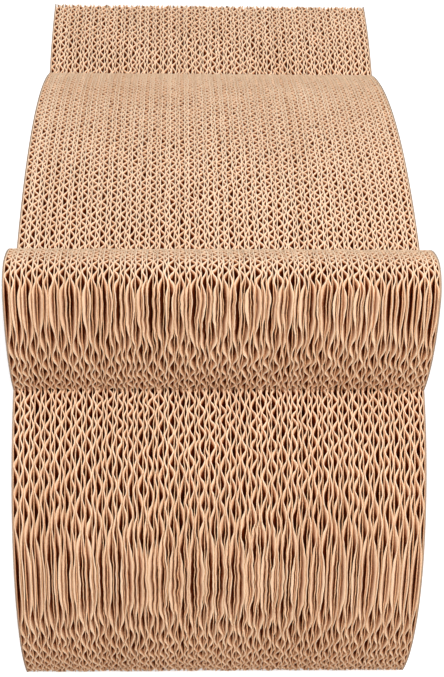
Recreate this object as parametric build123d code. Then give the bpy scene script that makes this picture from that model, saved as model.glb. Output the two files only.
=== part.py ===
from build123d import *
from math import sqrt
import os

os.makedirs("parts", exist_ok=True)

# Stack across the width, along X, in mm
board_count = 40            # double-wall corrugated boards, all die-cut to one outline
board_thickness = 6.17      # a tall and a low fluted layer between three liners
sheet_thickness = 0.9       # plain facing sheet on each side of the stack
glue_thickness = 0.1        # film in every seam between two sheets
glue_inset = 7.0            # the film stops this far inside the cut edge

# Side outline, in mm: set back from the foremost point, and up from the floor
length = 437.0              # foremost point to the flat back
back_height = 354.2         # sharp top edge of the back

nose_height = 97.1          # foremost point of the lower bulge
nose_low_radius = 157.3     # undercut from there down to the floor
nose_high_radius = 154.1    # slope from there up to the front crease

roll_setback = 21.5         # foremost point of the overhanging roll
roll_height = 280.0
roll_low_radius = 117.0     # underside of the roll, down to the front crease
roll_front_radius = 18.2    # quarter round from the front up to the top of the roll
roll_top_radius = 70.0      # top of the roll, falling to the dip behind it

seat_top_setback = 286.7    # highest point of the long seat
seat_top_height = 324.9
seat_radius = 396.8

head_depth = 73.5           # head rest, from its crease to the back
head_radius = 245.0


def crossing(center_a, radius_a, center_b, radius_b):
    """Point on two circles, on the left when looking from the first centre to the second."""
    between = center_b - center_a
    along = (radius_a**2 - radius_b**2 + between.length**2) / (2 * between.length)
    aside = sqrt(radius_a**2 - along**2)
    ahead = between.normalized()
    return center_a + ahead * along + Vector(-ahead.Y, ahead.X) * aside


# Points of the outline, front to back
nose = Vector(0, nose_height)
toe = Vector(nose_low_radius - sqrt(nose_low_radius**2 - nose_height**2), 0)
roll_front = Vector(roll_setback, roll_height)
roll_top = roll_front + Vector(roll_front_radius, roll_front_radius)
seat_center = Vector(seat_top_setback, seat_top_height - seat_radius)
front_crease = crossing(
    nose + Vector(nose_high_radius, 0),
    nose_high_radius,
    roll_front + Vector(roll_low_radius, 0),
    roll_low_radius,
)
dip_crease = crossing(
    roll_top - Vector(0, roll_top_radius),
    roll_top_radius,
    seat_center,
    seat_radius,
)
head_setback = length - head_depth
head_rise = sqrt(seat_radius**2 - (head_setback - seat_top_setback) ** 2)
head_crease = Vector(head_setback, seat_center.Y + head_rise)
peak = Vector(length, back_height)
heel = Vector(length, 0)

with BuildSketch(Plane.YZ) as outline:
    with BuildLine():
        Line(heel, toe)
        RadiusArc(toe, nose, nose_low_radius)
        RadiusArc(nose, front_crease, nose_high_radius)
        RadiusArc(front_crease, roll_front, roll_low_radius)
        RadiusArc(roll_front, roll_top, roll_front_radius)
        RadiusArc(roll_top, dip_crease, roll_top_radius)
        RadiusArc(dip_crease, head_crease, seat_radius)
        RadiusArc(head_crease, peak, head_radius)
        Line(peak, heel)
    make_face()
sheet_face = outline.sketch.face()
glue_face = offset(sheet_face, amount=-glue_inset).face()


def layer(face, left_x, thickness):
    """Flat sheet of the given outline, its left side at left_x."""
    return Pos(left_x, -length / 2, 0) * extrude(face, amount=thickness, dir=(1, 0, 0))


# Layers from left to right, each followed by the film that holds the next one
layers = [("side_sheet_left", sheet_thickness)]
for number in range(1, board_count + 1):
    layers.append((f"board_{number:02d}", board_thickness))
layers.append(("side_sheet_right", sheet_thickness))

stack_width = sum(thickness for _, thickness in layers) + glue_thickness * (len(layers) - 1)
left_x = -stack_width / 2
films = []
for name, thickness in layers:
    if left_x > -stack_width / 2:
        films.append(layer(glue_face, left_x, glue_thickness))
        left_x += glue_thickness
    export_step(layer(sheet_face, left_x, thickness), f"parts/{name}.step")
    left_x += thickness

export_step(Compound(children=films), "parts/glue_films.step")
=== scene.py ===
# %% [markdown]
# # A cardboard cat scratcher
# The real scratcher is a loaf of corrugated boards. Forty double-wall boards are die-cut
# to one wavy side outline and glued face to face. What the eye sees is only their cut
# edges: straight liners with waves of fluted paper between them, a tall and a low wave in
# each board.
# The CAD model holds the boards as plain slabs. A picture of waves on the slabs would look
# flat as soon as the view turns. So this lesson dresses each slab in its real plies, and
# every dark channel is a real hole that light can fall into.

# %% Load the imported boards
import random
from math import atan2, ceil, cos, pi, radians, sin, sqrt, tau

import bmesh
import bpy
from mathutils import Euler, Matrix, Vector


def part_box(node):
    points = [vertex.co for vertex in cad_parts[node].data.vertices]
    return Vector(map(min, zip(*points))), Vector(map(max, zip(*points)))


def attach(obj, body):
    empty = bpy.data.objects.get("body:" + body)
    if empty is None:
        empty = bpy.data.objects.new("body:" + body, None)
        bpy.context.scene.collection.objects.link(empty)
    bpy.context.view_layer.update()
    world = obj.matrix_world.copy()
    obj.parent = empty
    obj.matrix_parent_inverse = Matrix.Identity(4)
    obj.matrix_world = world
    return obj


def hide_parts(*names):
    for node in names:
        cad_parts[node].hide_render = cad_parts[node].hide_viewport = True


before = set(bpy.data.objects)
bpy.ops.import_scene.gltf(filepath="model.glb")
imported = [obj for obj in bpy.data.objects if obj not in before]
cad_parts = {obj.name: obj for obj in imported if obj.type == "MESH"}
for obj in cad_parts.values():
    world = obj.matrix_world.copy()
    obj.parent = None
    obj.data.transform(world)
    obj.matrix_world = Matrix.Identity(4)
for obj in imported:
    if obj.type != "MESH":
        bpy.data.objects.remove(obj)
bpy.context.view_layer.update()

MM = 0.001
board_nodes = sorted(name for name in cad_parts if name.startswith("board_"))

# %% [markdown]
# ## Camera
# The photograph looks down on the front end from a little to the left. A camera could be
# placed by eye, but then each error in it would pass for an error in the shape. So it
# was fitted together with the outline, to the width of the stack in each row and to the
# number of waves between rows. The point where the two sides would meet gave the small
# turn to the right. The lens is a short telephoto.

# %% Camera
CAMERA_PLACE = Vector((-25.4, -923.7, 614.9)) * MM
CAMERA_DOWN, CAMERA_RIGHT, CAMERA_ROLL = radians(26.31), radians(2.0), radians(0.99)
LENS, SENSOR = 73.99, 36.0


def put(name, data):
    """Adds an object with this data to the scene."""
    made = bpy.data.objects.new(name, data)
    bpy.context.scene.collection.objects.link(made)
    return made


camera = put("photo_view", bpy.data.cameras.new("photo_view"))
camera.data.sensor_width = SENSOR
camera.data.lens = LENS
turn = Euler((pi / 2 - CAMERA_DOWN, 0.0, -CAMERA_RIGHT)).to_matrix()
camera.rotation_euler = (turn @ Matrix.Rotation(CAMERA_ROLL, 3, "Z")).to_euler()
camera.location = CAMERA_PLACE
bpy.context.scene.camera = camera
print("camera at", tuple(round(v, 4) for v in camera.location))

# %% [markdown]
# ## Side outline
# One die cuts every board, so the outline is worked out once. It is a row of round
# lobes: the nose at the floor, the roll above it, the long seat and the head rest.
# It could be a curve with handles set by eye, but that tends to bulge between its points.
# Here each lobe is an arc, and the sharp creases are where two arcs cross.

# %% Lobes of the outline, in millimetres behind the nose and above the floor
LENGTH, BACK_HEIGHT, HEAD_DEPTH, HEAD_RADIUS = 437.0, 354.2, 73.5, 245.0
NOSE_HEIGHT, NOSE_LOW, NOSE_HIGH = 97.1, 157.3, 154.1
ROLL_SETBACK, ROLL_HEIGHT = 21.5, 280.0
ROLL_LOW, ROLL_FRONT, ROLL_TOP = 117.0, 18.2, 70.0
SEAT_SETBACK, SEAT_HEIGHT, SEAT_RADIUS = 286.7, 324.9, 396.8


def crossing(a, radius_a, b, radius_b):
    """Where two circles cross, left of the way from centre a to centre b."""
    way = b - a
    along = (radius_a**2 - radius_b**2 + way.length**2) / (2 * way.length)
    ahead = way.normalized()
    aside = Vector((-ahead.y, ahead.x)) * sqrt(radius_a**2 - along**2)
    return a + ahead * along + aside


nose = Vector((0.0, NOSE_HEIGHT))
toe = Vector((NOSE_LOW - sqrt(NOSE_LOW**2 - NOSE_HEIGHT**2), 0.0))
roll = Vector((ROLL_SETBACK, ROLL_HEIGHT))
nose_low_hub = nose + Vector((NOSE_LOW, 0.0))
nose_high_hub = nose + Vector((NOSE_HIGH, 0.0))
roll_low_hub = roll + Vector((ROLL_LOW, 0.0))
roll_front_hub = roll + Vector((ROLL_FRONT, 0.0))
roll_top = roll_front_hub + Vector((0.0, ROLL_FRONT))
roll_top_hub = roll_top - Vector((0.0, ROLL_TOP))
seat_hub = Vector((SEAT_SETBACK, SEAT_HEIGHT - SEAT_RADIUS))
front_crease = crossing(nose_high_hub, NOSE_HIGH, roll_low_hub, ROLL_LOW)
dip_crease = crossing(roll_top_hub, ROLL_TOP, seat_hub, SEAT_RADIUS)
head_setback = LENGTH - HEAD_DEPTH
head_rise = sqrt(SEAT_RADIUS**2 - (head_setback - SEAT_SETBACK) ** 2)
head_crease = Vector((head_setback, seat_hub.y + head_rise))
peak, heel = Vector((LENGTH, BACK_HEIGHT)), Vector((LENGTH, 0.0))
head_hub = crossing(peak, HEAD_RADIUS, head_crease, HEAD_RADIUS)
LOBES = [
    (peak, head_crease, head_hub),
    (head_crease, dip_crease, seat_hub),
    (dip_crease, roll_top, roll_top_hub),
    (roll_top, roll, roll_front_hub),
    (roll, front_crease, roll_low_hub),
    (front_crease, nose, nose_high_hub),
    (nose, toe, nose_low_hub),
]
print("front crease at", front_crease, "dip at", dip_crease, "head crease at", head_crease)

# %% [markdown]
# A mesh has only straight edges, so the arcs are walked counter-clockwise in steps that
# are too short to see. The flat underside and the flat back need no points between their
# corners.

# %% Points round the outline
OUTLINE_STEP = 1.5


def side_outline(step):
    """Points round the board, counter-clockwise from the toe, step mm apart on arcs."""
    points = [toe.copy(), heel.copy()]
    for start, end, hub in LOBES:
        a, b = start - hub, end - hub
        from_angle, to_angle = atan2(a.y, a.x), atan2(b.y, b.x)
        if to_angle < from_angle:
            to_angle += tau
        count = max(2, ceil(a.length * (to_angle - from_angle) / step))
        for k in range(count):
            angle = from_angle + (to_angle - from_angle) * k / count
            points.append(hub + Vector((cos(angle), sin(angle))) * a.length)
    return [Vector((p.x - LENGTH / 2, p.y)) * MM for p in points]


outline = side_outline(OUTLINE_STEP)
print("outline points", len(outline))

# %% [markdown]
# ## Node helpers
# The papers and the plies are both made by node trees. In the editor one would drag the
# links by hand. In a script these helpers add a node, fill in its inputs and give back
# its outputs, so that each tree further down reads as a recipe.

# %% Node helpers


def wire(tree, kind, inputs=None, **settings):
    """Adds a node, sets it up, links or sets its inputs, and gives its outputs."""
    node = tree.nodes.new(kind)
    for key, value in settings.items():
        setattr(node, key, value)
    for key, value in (inputs or {}).items():
        if isinstance(value, bpy.types.NodeSocket):
            tree.links.new(value, node.inputs[key])
        else:
            node.inputs[key].default_value = value
    return node.outputs


def math(tree, operation, *values):
    """A sum, product or other operation on numbers."""
    return wire(tree, "ShaderNodeMath", dict(enumerate(values)), operation=operation)[0]


def ramp(tree, value, low, high, to_low=0.0, to_high=1.0):
    """Maps low to high onto to_low to to_high, and stays level outside them."""
    limits = {"From Min": low, "From Max": high, "To Min": to_low, "To Max": to_high}
    return wire(tree, "ShaderNodeMapRange", {"Value": value, **limits})["Result"]


def noise(tree, place, scale, detail=3.0):
    """Noise at a scale in lumps per metre along each axis."""
    space = wire(tree, "ShaderNodeMapping", {"Vector": place, "Scale": scale})["Vector"]
    settings = {"Vector": space, "Scale": 1.0, "Detail": detail}
    return wire(tree, "ShaderNodeTexNoise", settings)["Fac"]


def blend(tree, share, first, second):
    """A colour between two others."""
    colours = {"Factor": share, "A": first, "B": second}
    return wire(tree, "ShaderNodeMix", colours, data_type="RGBA")[2]


def srgb(red, green, blue):
    """A colour as seen on screen, 0 to 255, as the light values that shaders use."""
    shares = [value / 255 for value in (red, green, blue)]
    light = [s / 12.92 if s <= 0.04045 else ((s + 0.055) / 1.055) ** 2.4 for s in shares]
    return light + [1.0]


print("grey 128 on screen is light of", round(srgb(128, 128, 128)[0], 3))

# %% [markdown]
# ## Depth behind the cut, painted as shade
# In the photo the cut edge of the paper is pale, and the holes behind it are brown, dark
# where little light gets in. The tone paints this shade: it darkens with the depth behind
# the cut that the points of a ply carry, with noise on it. A pale material on the rim alone
# would end in a hard line. Where the cut runs along the flutes, the flanks of the waves look
# pale too, so there painted light keeps a bare flank at a shallow depth for longer. The
# depths were tuned to the photo.

# %% Depth behind the cut, painted as shade in the tone
# The torn border is the ragged line between the pale cut edge and the painted shade.
FINE = (900.0, 900.0, 900.0)  # lumps per metre in the torn border
FRAY = 0.8  # mm by which the torn border wanders to each side
# Painted light: where the cut runs along the flutes, a bare flank is painted as a shallow
# depth, pale, before it turns to painted shade.
FLANK_TURN = (1.8, 3.2)  # mm behind the cut between which a bare flank turns dark
FLANK_LOOK = (0.28, 1.7)  # depths in mm that a bare flank looks like before and after


def shade_depth(tree, place):
    """Depth in mm that sets the tone of the paper: painted shade deeper in, painted light on
    bare flanks.
    """
    depth = wire(tree, "ShaderNodeAttribute", attribute_name="cut_depth")["Fac"]
    bare = wire(tree, "ShaderNodeAttribute", attribute_name="painted_flank_light")["Fac"]
    fray = math(tree, "MULTIPLY_ADD", noise(tree, place, FINE), 2 * FRAY, -FRAY)
    fray = math(tree, "MULTIPLY", fray, ramp(tree, depth, 0.0, 1.0))
    ragged = math(tree, "ADD", depth, fray)
    # Painted light: a bare flank keeps a shallow depth, so it stays pale.
    flank = ramp(tree, ragged, *FLANK_TURN, *FLANK_LOOK)
    return math(tree, "MULTIPLY_ADD", bare, math(tree, "SUBTRACT", flank, ragged), ragged)


print("a bare flank stays pale for", FLANK_TURN[0], "mm")

# %% [markdown]
# ## Kraft paper
# All the paper is brown kraft with fine streaks of fibre and soft blotches. No two plies
# are quite alike, so a tone that each ply carries shifts the colour a little. Three
# separate materials would do, but one recipe with other colours keeps the papers alike.
# Patterns follow the object's own coordinates, and so stay in place from every side. The
# flutes press through a facing sheet as faint ribs, which are too low for geometry.

# %% Kraft material
BLOTCHES = (22.0, 22.0, 22.0)  # lumps per metre
FIBRE_WEIGHT, BLOTCH_WEIGHT = 0.9, 0.7
DARKEST, LIGHTEST = 0.45, 1.25  # sums of fibre, blotch and ply tone
FIBRE_DETAIL = 4.0
FIBRE_RANGE, ROUGHNESS = (0.2, 0.8), (0.78, 0.94)
GLOSS = 0.1
RELIEF = 0.2  # mm


def kraft(name, tones, streaks, bump=0.3, rib=None):
    """Kraft paper. A tone is a depth behind the cut in mm, a dark and a light colour; tones
    past the first are painted shade.
    """
    material = bpy.data.materials.new(name)
    material.use_nodes = True
    tree = material.node_tree
    tree.nodes.clear()
    place = wire(tree, "ShaderNodeTexCoord")["Object"]
    fibre = noise(tree, place, streaks, FIBRE_DETAIL)
    blotch = noise(tree, place, BLOTCHES)
    ply_tone = wire(tree, "ShaderNodeAttribute", attribute_name="ply_tone")["Fac"]
    mixed = math(tree, "MULTIPLY_ADD", fibre, FIBRE_WEIGHT, ply_tone)
    mixed = math(tree, "MULTIPLY_ADD", blotch, BLOTCH_WEIGHT, mixed)
    share = ramp(tree, mixed, DARKEST, LIGHTEST)
    paints = [blend(tree, share, srgb(*dark), srgb(*light)) for _, dark, light in tones]
    colour = paints[0]
    if len(tones) > 1:
        # Painted shade: the colour darkens towards the deeper tones behind the cut.
        depth = shade_depth(tree, place)
        for k in range(1, len(tones)):
            into_shade = ramp(tree, depth, tones[k - 1][0], tones[k][0])
            colour = blend(tree, into_shade, colour, paints[k])
    height = fibre
    if rib:
        along = wire(tree, "ShaderNodeSeparateXYZ", {"Vector": place})["Y"]
        wave = math(tree, "SINE", math(tree, "MULTIPLY", along, tau / (rib * MM)))
        height = math(tree, "ADD", fibre, wave)
    relief = {"Height": height, "Strength": bump, "Distance": RELIEF * MM}
    skin = {
        "Base Color": colour,
        "Roughness": ramp(tree, fibre, *FIBRE_RANGE, *ROUGHNESS),
        "Normal": wire(tree, "ShaderNodeBump", relief)["Normal"],
        "Specular IOR Level": GLOSS,
    }
    surface = wire(tree, "ShaderNodeBsdfPrincipled", skin)["BSDF"]
    wire(tree, "ShaderNodeOutputMaterial", {"Surface": surface})
    return material


print("fibres stand up by", RELIEF, "mm at most")

# %% [markdown]
# The board has three tones behind its cut: its pale cut edge, then painted shade that
# darkens into the holes. The facing sheets are kraft painted darker and greyer, as painted
# shade at the sides of the stack, and the glue has dried to a yellowish film without a grain
# of its own.

# %% Board paper, facing paper and glue
TALL_WAVE, LOW_WAVE = 7.6, 6.55  # lengths of the two waves in mm
board_paper = kraft(
    "board_paper",
    [
        # The paper's own pale cut edge, then the wall tone at 0.7 mm, partly painted shade, and
        # painted shade deep in the holes at 1.7 mm.
        (0.0, (237, 205, 173), (253, 231, 203)),
        (0.7, (216, 159, 113), (236, 185, 141)),
        (1.7, (116, 48, 12), (146, 68, 20)),
    ],
    (900.0, 900.0, 60.0),
)
# Painted shade: the facing sheets are painted darker and greyer than the boards' paper.
shaded_facing_paper = kraft(
    "shaded_facing_paper",
    [(0.0, (150, 126, 108), (182, 158, 138))],
    (700.0, 240.0, 60.0),
    bump=0.2,
    rib=TALL_WAVE,
)
glue_film = kraft(
    "glue_film", [(0.0, (168, 136, 98), (206, 176, 136))], (300.0, 300.0, 300.0)
)
print("materials", board_paper.name, shaded_facing_paper.name, glue_film.name)

# %% [markdown]
# ## Flat panels
# On the real line the board is glued first and cut afterwards. In Blender, cutting a
# block of waves with a Boolean is slow and can leave stray faces. It is quicker and cleaner
# to cut the panels flat and bend them afterwards, because a wave that only lifts a panel
# keeps its outline. The panels lie in the XY plane here.
# Each panel has a band along its cut edge. Its points carry how deep behind the cut they
# lie, with some painted shade added as depth, how much painted light a bare flank gets
# there, and how broad the paper is made.
# In the photo the cut isn't alike all round. On the seat, where it meets the flutes
# head-on, the edges look broad and the liners flush, as if the blade had crushed them. On
# the upright front, where it runs along the flutes, the waves stand foremost, painted light
# keeps their flanks pale, and painted shade makes the liners browner. The amounts were
# tuned and aren't measured.
# A liner needs no more than that. The fluted paper has to bend, so its panel is slit
# into narrow columns.

# %% Flat panels for the liners and for the fluted paper
EDGE_BAND = 5.0  # mm
COLUMNS_PER_WAVE = 7
# Pairs hold mm for a level and for an upright cut
# Extra depth for the tone alone is painted shade: it makes upright liners browner and the
# seat's wave edges a touch darker. The flank share is painted light on bare flanks.
LINER_CUT = {"set_back": (0.0, 0.15), "shade_as_depth": (0.0, 0.82), "flank_light_share": 0.3}
WAVE_CUT = {"set_back": (0.2, 0.0), "shade_as_depth": (0.1, 0.0), "flank_light_share": 1.0}


def between(pair, share):
    """A number between the two of a pair."""
    return pair[0] + (pair[1] - pair[0]) * share


def flat_panel(name, cut, column=None):
    """The outline as one flat face with its cut band, slit into columns of that many mm."""
    bm = bmesh.new()
    depth = bm.verts.layers.float.new("cut_depth")
    along = bm.verts.layers.float.new("painted_flank_light")
    crush = bm.verts.layers.float.new("cut_crush")
    face = bm.faces.new([bm.verts.new((p.x, p.y, 0.0)) for p in outline])
    bm.normal_update()
    bmesh.ops.inset_region(
        bm, faces=[face], thickness=EDGE_BAND * MM, use_boundary=True, use_even_offset=True
    )
    inner = set(face.verts)
    for vert in inner:
        linked = [edge.other_vert(vert) for edge in vert.link_edges]
        rim = next(other for other in linked if other not in inner)
        inward = (vert.co - rim.co).normalized()
        upright = inward.x**2
        rim.co += inward * between(cut["set_back"], upright) * MM
        # Painted light keeps bare flanks on an upright cut pale; painted shade adds depth at
        # the rim for the tone.
        rim[along] = vert[along] = cut["flank_light_share"] * upright**3
        rim[crush] = vert[crush] = 1.0 - upright
        rim[depth] = between(cut["shade_as_depth"], upright)
        vert[depth] = rim[depth] + EDGE_BAND
    if column:
        for k in range(1, ceil(LENGTH / column)):
            place = ((k * column - LENGTH / 2) * MM, 0, 0)
            parts = bm.verts[:] + bm.edges[:] + bm.faces[:]
            bmesh.ops.bisect_plane(bm, geom=parts, plane_co=place, plane_no=(1, 0, 0))
    mesh = bpy.data.meshes.new(name)
    bm.to_mesh(mesh)
    bm.free()
    mesh.materials.append(board_paper)
    return put(name, mesh)


liner_panel = flat_panel("liner_panel", LINER_CUT)
tall_panel = flat_panel("tall_panel", WAVE_CUT, TALL_WAVE / COLUMNS_PER_WAVE)
low_panel = flat_panel("low_panel", WAVE_CUT, LOW_WAVE / COLUMNS_PER_WAVE)
for panel in (liner_panel, tall_panel, low_panel):
    print(panel.name, "faces", len(panel.data.polygons))

# %% [markdown]
# ## One ply of paper
# Fluted paper is a wave that repeats, and the five plies repeat from board to board. The
# Wave modifier is meant for ripples that move, so Geometry Nodes make the plies. First
# come the helpers that only such trees need.

# %% Helpers for Geometry Nodes


def new_tree(name, inputs):
    """A Geometry Nodes tree with named inputs, and the outputs of its input node."""
    tree = bpy.data.node_groups.new(name, "GeometryNodeTree")
    tree.interface.new_socket("Geometry", in_out="OUTPUT", socket_type="NodeSocketGeometry")
    for label, kind in inputs.items():
        tree.interface.new_socket(label, in_out="INPUT", socket_type=f"NodeSocket{kind}")
    return tree, tree.nodes.new("NodeGroupInput").outputs


def draw(tree, low, high, number, seed):
    """One random number for the whole ply, told apart from its other draws by number."""
    same = wire(tree, "FunctionNodeInputInt", integer=number)[0]
    limits = {2: low, 3: high, "ID": same, "Seed": seed}
    return wire(tree, "FunctionNodeRandomValue", limits)[1]


def carried(tree, name):
    """A number that the points of a panel carry."""
    named = {"Name": name}
    return wire(tree, "GeometryNodeInputNamedAttribute", named, data_type="FLOAT")["Attribute"]


def join(tree, parts):
    """Several geometries as one."""
    node = tree.nodes.new("GeometryNodeJoinGeometry")
    for part in parts:
        tree.links.new(part, node.inputs[0])
    return node.outputs[0]


def smooth(tree, geometry, where):
    """Shades some of the faces smooth and the rest flat."""
    faces = {"Geometry": geometry, "Shade Smooth": where}
    return wire(tree, "GeometryNodeSetShadeSmooth", faces, domain="FACE")["Geometry"]


print("helpers for trees: new_tree, draw, carried, join, smooth")

# %% [markdown]
# Real flutes are never quite even. The wave is a sine with fuller crests, and a slow drift
# moves its crests along and changes its height. Each ply draws its own start from its
# seed, so the drift differs too.

# %% Wave of a ply
START_DRAW, TONE_DRAW = 1, 2  # numbers of a ply's random draws
DRIFT_SCALE = 34.0  # lumps per metre along the wave
DRIFT_APART = 97.0  # how far the plies lie from each other in the drift's noise
DRIFT_TURNS = 1.0  # waves by which the crests may move along
LEAST_HEIGHT, MORE_HEIGHT = 0.40, 0.16  # shares of the height to each side of the middle
FULL_CREST = 0.25  # how much fuller the wave is than a plain sine


def wave_lift(tree, given, along):
    """How far the panel is lifted at each place along the wave."""
    start = draw(tree, 0.0, 1.0, START_DRAW, given["Seed"])
    apart = math(tree, "MULTIPLY", start, DRIFT_APART)
    where = {"W": math(tree, "MULTIPLY_ADD", along, DRIFT_SCALE, apart), "Scale": 1.0}
    drift = wire(tree, "ShaderNodeTexNoise", where, noise_dimensions="1D")["Fac"]
    turns = math(tree, "ADD", math(tree, "DIVIDE", along, given["Wave Length"]), start)
    turns = math(tree, "MULTIPLY_ADD", drift, DRIFT_TURNS, turns)
    share = math(tree, "MULTIPLY_ADD", drift, MORE_HEIGHT, LEAST_HEIGHT)
    height = math(tree, "MULTIPLY", given["Wave Height"], share)
    swing = math(tree, "SINE", math(tree, "MULTIPLY", turns, tau))
    square = math(tree, "MULTIPLY", swing, swing)
    crest = math(tree, "MULTIPLY_ADD", square, -FULL_CREST, 1.0 + FULL_CREST)
    return math(tree, "MULTIPLY", math(tree, "MULTIPLY", swing, crest), height)


print("crests move along by up to", DRIFT_TURNS, "wave")

# %% [markdown]
# One small tree turns a flat panel into a ply: it lifts the panel into a wave, thickens it
# into a closed sheet, and keeps its rim apart as a sharp cut edge. A Solidify modifier
# could thicken it too, but a node in the tree does it for two hundred plies at once, and
# makes the paper broader where its points say so. A wave height of nothing gives a flat
# liner from the same tree.

# %% Tree for one ply
PLY_INPUTS = {
    "Panel": "Geometry",
    "Level": "Float",
    "Wave Length": "Float",
    "Wave Height": "Float",
    "Paper": "Float",
    "Crush": "Float",
    "Seed": "Int",
}
TONE_SPREAD = 0.22
WELD = 0.002  # mm


def ply_tree():
    """The tree that turns a flat panel into one ply."""
    tree, given = new_tree("paper_ply", PLY_INPUTS)
    place = wire(tree, "GeometryNodeInputPosition")["Position"]
    along = wire(tree, "ShaderNodeSeparateXYZ", {"Vector": place})["X"]
    lift = math(tree, "ADD", wave_lift(tree, given, along), given["Level"])
    offset = wire(tree, "ShaderNodeCombineXYZ", {"Z": lift})["Vector"]
    moved = {"Geometry": given["Panel"], "Offset": offset}
    waved = wire(tree, "GeometryNodeSetPosition", moved)["Geometry"]
    crush = math(tree, "MULTIPLY", carried(tree, "cut_crush"), given["Crush"])
    thick = math(tree, "MULTIPLY_ADD", given["Paper"], crush, given["Paper"])
    sheet = {"Mesh": waved, "Offset Scale": thick, "Individual": False}
    upper = wire(tree, "GeometryNodeExtrudeMesh", sheet, mode="FACES")
    body = wire(tree, "FunctionNodeBooleanMath", {0: upper["Side"]}, operation="NOT")[0]
    under = wire(tree, "GeometryNodeFlipFaces", {"Mesh": waved})["Mesh"]
    both = join(tree, [smooth(tree, under, True), smooth(tree, upper["Mesh"], body)])
    weld = {"Geometry": both, "Distance": WELD * MM}
    closed = wire(tree, "GeometryNodeMergeByDistance", weld)["Geometry"]
    toned = wire(
        tree,
        "GeometryNodeStoreNamedAttribute",
        {
            "Geometry": closed,
            "Name": "ply_tone",
            "Value": draw(tree, -TONE_SPREAD, TONE_SPREAD, TONE_DRAW, given["Seed"]),
        },
        data_type="FLOAT",
        domain="FACE",
    )["Geometry"]
    wire(tree, "NodeGroupOutput", {0: toned})
    return tree


paper_ply = ply_tree()
print("ply tree nodes", len(paper_ply.nodes))

# %% [markdown]
# ## One double-wall board
# A board is five plies: liner, tall flutes, liner, low flutes, liner. The photo shows that
# the two fluted layers differ: the tall one has a longer wave and larger holes. The papers
# here are as thick as they look in the photo, which is more than such paper usually is.
# The plies could be five objects, but a tree that calls the ply tree five times keeps
# a board in one piece, as glued board is. The last liner isn't made broader at the cut,
# because it would grow into the next board.

# %% Five plies, one on the other
OUTER_LINER, MIDDLE_LINER, FLUTING = 0.28, 0.44, 0.54  # mm
TALL_SHARE = 0.6  # of the room between the liners
LINER_CRUSH, WAVE_CRUSH = 0.4, 0.2  # shares of their thickness


def stack_plies(tree, given):
    """The plies of a board that lies flat."""
    liner = wire(tree, "GeometryNodeObjectInfo", {"Object": given["Liner Panel"]})["Geometry"]
    low_sheet = wire(tree, "GeometryNodeObjectInfo", {"Object": given["Low Panel"]})["Geometry"]
    outer, middle, fluting = given["Outer Liner"], given["Middle Liner"], given["Fluting"]
    liners = math(tree, "MULTIPLY_ADD", outer, 2.0, middle)
    room = math(tree, "SUBTRACT", given["Board Thickness"], liners)
    tall_room = math(tree, "MULTIPLY", room, given["Tall Share"])
    tall = math(tree, "SUBTRACT", tall_room, fluting)
    low = math(tree, "SUBTRACT", math(tree, "SUBTRACT", room, tall_room), fluting)
    tall_level = math(tree, "MULTIPLY_ADD", tall, 0.5, outer)
    middle_level = math(tree, "ADD", outer, tall_room)
    low_level = math(tree, "MULTIPLY_ADD", low, 0.5, math(tree, "ADD", middle_level, middle))
    last_level = math(tree, "SUBTRACT", given["Board Thickness"], outer)
    plies = [
        (liner, 0.0, 1.0, 0.0, outer, LINER_CRUSH),
        (given["Tall Panel"], tall_level, given["Tall Wave"], tall, fluting, WAVE_CRUSH),
        (liner, middle_level, 1.0, 0.0, middle, LINER_CRUSH),
        (low_sheet, low_level, given["Low Wave"], low, fluting, WAVE_CRUSH),
        (liner, last_level, 1.0, 0.0, outer, 0.0),
    ]
    made = []
    for number, ply in enumerate(plies):
        inputs = dict(zip(PLY_INPUTS, ply))
        seed = math(tree, "MULTIPLY_ADD", given["Seed"], float(len(plies)), float(number))
        inputs["Seed"] = seed
        made.append(wire(tree, "GeometryNodeGroup", inputs, node_tree=paper_ply)[0])
    return join(tree, made)


print("papers in mm: outer", OUTER_LINER, "middle", MIDDLE_LINER, "fluting", FLUTING)

# %% [markdown]
# The edges in the photo aren't straight: they bend a little to the side, and they are
# uneven on a finer scale too, less so where the cut is upright and runs along the
# flutes. Bends drawn at random for each board would push neighbours into each other. So
# the bend is a soft noise in space that runs on from board to board, and a finer noise
# makes the tears. Towards the two sides of the stack both fade out, because the facing
# sheets are straight.

# %% Bend and tear of a standing board
SWAY, SWAY_SCALE, SWAY_DETAIL = 1.7, 95.0, 2.0  # mm to each side, lumps per metre
TEAR, TEAR_SCALE, TEAR_DETAIL = 0.4, 480.0, 1.0
TEAR_DEPTH = 2.0  # mm
CALM_CRUSH, CALM_TEAR = 0.4, 0.3  # below this crush the tear shrinks, to this share of it
STRAIGHT_AT = 0.125  # metres from the middle of the stack


def to_each_side(tree, place, reach, scale, detail):
    """A soft noise that reaches that many mm to each side."""
    settings = {"Vector": place, "Scale": scale, "Detail": detail}
    lumps = wire(tree, "ShaderNodeTexNoise", settings)["Fac"]
    return math(tree, "MULTIPLY_ADD", lumps, 2 * reach * MM, -reach * MM)


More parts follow.
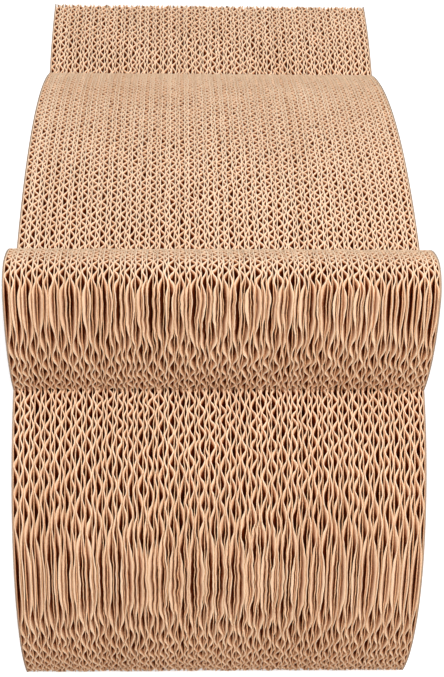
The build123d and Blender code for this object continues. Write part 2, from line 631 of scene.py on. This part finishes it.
def bend_edges(tree, upright):
    """Sways a standing board to the side and tears its cut edges."""
    place = wire(tree, "GeometryNodeInputPosition")["Position"]
    across = wire(tree, "ShaderNodeSeparateXYZ", {"Vector": place})["X"]
    outward = math(tree, "POWER", math(tree, "MULTIPLY", across, 1 / STRAIGHT_AT), 2.0)
    inward = math(tree, "SUBTRACT", 1.0, outward)
    sway = to_each_side(tree, place, SWAY, SWAY_SCALE, SWAY_DETAIL)
    torn = to_each_side(tree, place, TEAR, TEAR_SCALE, TEAR_DETAIL)
    near = ramp(tree, carried(tree, "cut_depth"), 0.0, TEAR_DEPTH, 1.0, 0.0)
    rough = ramp(tree, carried(tree, "cut_crush"), 0.0, CALM_CRUSH, CALM_TEAR, 1.0)
    torn = math(tree, "MULTIPLY", math(tree, "MULTIPLY", torn, near), rough)
    aside = math(tree, "MULTIPLY", math(tree, "ADD", sway, torn), inward)
    offset = wire(tree, "ShaderNodeCombineXYZ", {"X": aside})["Vector"]
    moved = {"Geometry": upright, "Offset": offset}
    return wire(tree, "GeometryNodeSetPosition", moved)["Geometry"]


print("boards sway by up to", SWAY, "mm, tears reach", TEAR, "mm")

# %% [markdown]
# The board tree stacks the plies, stands the lying board up and shifts it a hair, as boards
# are that are stacked by hand. Then it bends the board. Each number that a maker of board
# would want to set is a named input of the tree.

# %% Tree for one board
BOARD_INPUTS = {
    "Tall Panel": "Geometry",
    "Low Panel": "Object",
    "Liner Panel": "Object",
    "Board Left": "Float",
    "Board Thickness": "Float",
    "Outer Liner": "Float",
    "Middle Liner": "Float",
    "Fluting": "Float",
    "Tall Share": "Float",
    "Tall Wave": "Float",
    "Low Wave": "Float",
    "Shift Back": "Float",
    "Shift Up": "Float",
    "Seed": "Int",
    "Paper": "Material",
}


def stand_up(tree, given, lying):
    """Stands a lying board on its edge at its place in the stack."""
    axes = {"X": given["Board Left"], "Y": given["Shift Back"], "Z": given["Shift Up"]}
    shift = wire(tree, "ShaderNodeCombineXYZ", axes)["Vector"]
    move = {"Geometry": lying, "Translation": shift, "Rotation": (pi / 2, 0.0, pi / 2)}
    return wire(tree, "GeometryNodeTransform", move)["Geometry"]


def board_tree():
    """The tree that makes one dressed board."""
    tree, given = new_tree("double_wall_board", BOARD_INPUTS)
    bent = bend_edges(tree, stand_up(tree, given, stack_plies(tree, given)))
    real = wire(tree, "GeometryNodeRealizeInstances", {"Geometry": bent})["Geometry"]
    finish = {"Geometry": real, "Material": given["Paper"]}
    finished = wire(tree, "GeometryNodeSetMaterial", finish)["Geometry"]
    wire(tree, "NodeGroupOutput", {0: finished})
    return tree


double_wall_board = board_tree()
board_socket = {
    item.name: item.identifier
    for item in double_wall_board.interface.items_tree
    if item.in_out == "INPUT"
}
print("board tree nodes", len(double_wall_board.nodes))

# %% [markdown]
# ## The stack
# Forty copies of one board would be lighter, but the eye would find the repeat at once. So
# every board runs through the same tree with its own seed, and no two waves start alike,
# as in the real stack. The result is turned into a plain mesh that stands for its node.

# %% From a tree to a plain mesh


def dress(name, panel, tree, sockets, values):
    """Runs a panel through a tree and gives the result as a plain mesh object."""
    maker = put(name + "_maker", panel.data)
    modifier = maker.modifiers.new("make", "NODES")
    modifier.node_group = tree
    for label, value in values.items():
        modifier[sockets[label]] = value
    graph = bpy.context.evaluated_depsgraph_get()
    mesh = bpy.data.meshes.new_from_object(maker.evaluated_get(graph), depsgraph=graph)
    bpy.data.objects.remove(maker)
    mesh.name = name
    return put(name, mesh)


print("the board tree takes", len(board_socket), "inputs")

# %% [markdown]
# A seam of glue lies between two boards, but it stops short of the cut edge, where the
# boards touch. So each dressed board takes half of the seam on either side. Hands don't
# line boards up perfectly, and each one is a hair out of line.

# %% Forty boards
jog = random.Random(11)
JOG = 0.3  # mm by which a board may be out of line
SEAM = 0.1  # mm
faces = 0
for number, node in enumerate(board_nodes):
    low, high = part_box(node)
    left, right = low[0] - SEAM / 2 * MM, high[0] + SEAM / 2 * MM
    piece = dress(
        "plies_" + node,
        tall_panel,
        double_wall_board,
        board_socket,
        {
            "Low Panel": low_panel,
            "Liner Panel": liner_panel,
            "Board Left": left,
            "Board Thickness": right - left,
            "Outer Liner": OUTER_LINER * MM,
            "Middle Liner": MIDDLE_LINER * MM,
            "Fluting": FLUTING * MM,
            "Tall Share": TALL_SHARE,
            "Tall Wave": TALL_WAVE * MM,
            "Low Wave": LOW_WAVE * MM,
            "Shift Back": jog.uniform(-JOG, JOG) * MM,
            "Shift Up": jog.uniform(0.0, JOG) * MM,
            "Seed": number + 1,
            "Paper": board_paper,
        },
    )
    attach(piece, "root")
    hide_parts(node)
    faces += len(piece.data.polygons)
for panel in (liner_panel, tall_panel, low_panel):
    bpy.data.objects.remove(panel)
print("boards", len(board_nodes), "faces", faces)

# %% [markdown]
# ## Facing sheets and glue
# A plain sheet of kraft, painted darker and greyer as painted shade, closes each side of the
# stack, and films of dry glue hold the boards together. New meshes could be made for them,
# but their solids are right as they are, so they only get their finish.

# %% Finishes of the facing sheets and the glue
FINISHES = {
    "side_sheet_left": shaded_facing_paper,
    "side_sheet_right": shaded_facing_paper,
    "glue_films": glue_film,
}
for node, finish in FINISHES.items():
    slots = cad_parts[node].material_slots
    for slot in slots:
        slot.material = finish
    print(node, [slot.material.name for slot in slots])

# %% [markdown]
# ## Floor and light
# The scratcher stands on white paper in a studio. A floor that is only painted white
# renders grey, and one that shines lights the stack from below. So the floor glows for
# the camera alone, a little less close to the stack, where it keeps a faint shadow at
# the foot.

# %% Floor
FLOOR_SIZE = 8.0  # metres
FLOOR_GREY = (0.8, 0.8, 0.8, 1.0)
GLOW_REACH, GLOW = (0.4, 1.4), (0.6, 1.0)  # metres from the stack, and strengths there


def camera_sees(tree):
    """One for what the camera sees straight, in a gloss or through glass, else nothing."""
    ray = wire(tree, "ShaderNodeLightPath")
    straight = math(tree, "MAXIMUM", ray["Is Camera Ray"], ray["Is Glossy Ray"])
    return math(tree, "MAXIMUM", straight, ray["Is Transmission Ray"])


bpy.ops.mesh.primitive_plane_add(size=FLOOR_SIZE)
floor = bpy.context.object
floor.name = "studio_floor"
floor_paint = bpy.data.materials.new("studio_white")
floor_paint.use_nodes = True
tree = floor_paint.node_tree
tree.nodes.clear()
paint = wire(tree, "ShaderNodeBsdfDiffuse", {"Color": FLOOR_GREY})["BSDF"]
place = wire(tree, "ShaderNodeTexCoord")["Object"]
away = wire(tree, "ShaderNodeVectorMath", {0: place}, operation="LENGTH")["Value"]
white = math(tree, "MULTIPLY", camera_sees(tree), ramp(tree, away, *GLOW_REACH, *GLOW))
glow = wire(tree, "ShaderNodeEmission", {"Strength": white})["Emission"]
both = wire(tree, "ShaderNodeAddShader", {0: paint, 1: glow})[0]
wire(tree, "ShaderNodeOutputMaterial", {"Surface": both})
floor.data.materials.append(floor_paint)
print("floor", floor.name, "of", FLOOR_SIZE, "m")

# %% [markdown]
# Two large softboxes stand in front of the stack, the right one stronger, and a weak one
# hangs above it. A bright sky would be simpler, but its light comes from everywhere and
# would fill the channels. The softboxes light the cut edges and leave the channels dark.
# The sky is white to the camera, and gives the stack only a little light.

# %% Lights
SKY_LIGHT = 0.06
SIDE_LAMP, SIDE_AIM = (1.4, -1.05, 1.2), (0.0, 0.0, 0.17)  # metres
TOP_LAMP, TOP_AIM = (0.0, 0.0, 2.2), (0.0, 0.0, 0.0)
LAMP_SIZE = 1.0
RIGHT_POWER, LEFT_POWER, TOP_POWER = 37.5, 26.8, 8.0  # watts


def softbox(name, place, aim, power):
    """A large soft lamp that points from its place to its aim."""
    lamp = bpy.data.lights.new(name, "AREA")
    lamp.size = LAMP_SIZE
    lamp.energy = power
    box = put(name, lamp)
    box.location = place
    box.rotation_euler = (Vector(aim) - Vector(place)).to_track_quat("-Z", "Y").to_euler()
    print("softbox", name, "at", place, "power", power)


world = bpy.data.worlds.new("studio")
bpy.context.scene.world = world
world.use_nodes = True
tree = world.node_tree
tree.nodes.clear()
shine = ramp(tree, camera_sees(tree), 0.0, 1.0, SKY_LIGHT, 1.0)
sky = {"Color": (1.0, 1.0, 1.0, 1.0), "Strength": shine}
wire(tree, "ShaderNodeOutputWorld", {"Surface": wire(tree, "ShaderNodeBackground", sky)[0]})
softbox("right", SIDE_LAMP, SIDE_AIM, RIGHT_POWER)
softbox("left", (-SIDE_LAMP[0], *SIDE_LAMP[1:]), SIDE_AIM, LEFT_POWER)
softbox("top", TOP_LAMP, TOP_AIM, TOP_POWER)
bpy.context.scene.view_settings.view_transform = "Standard"
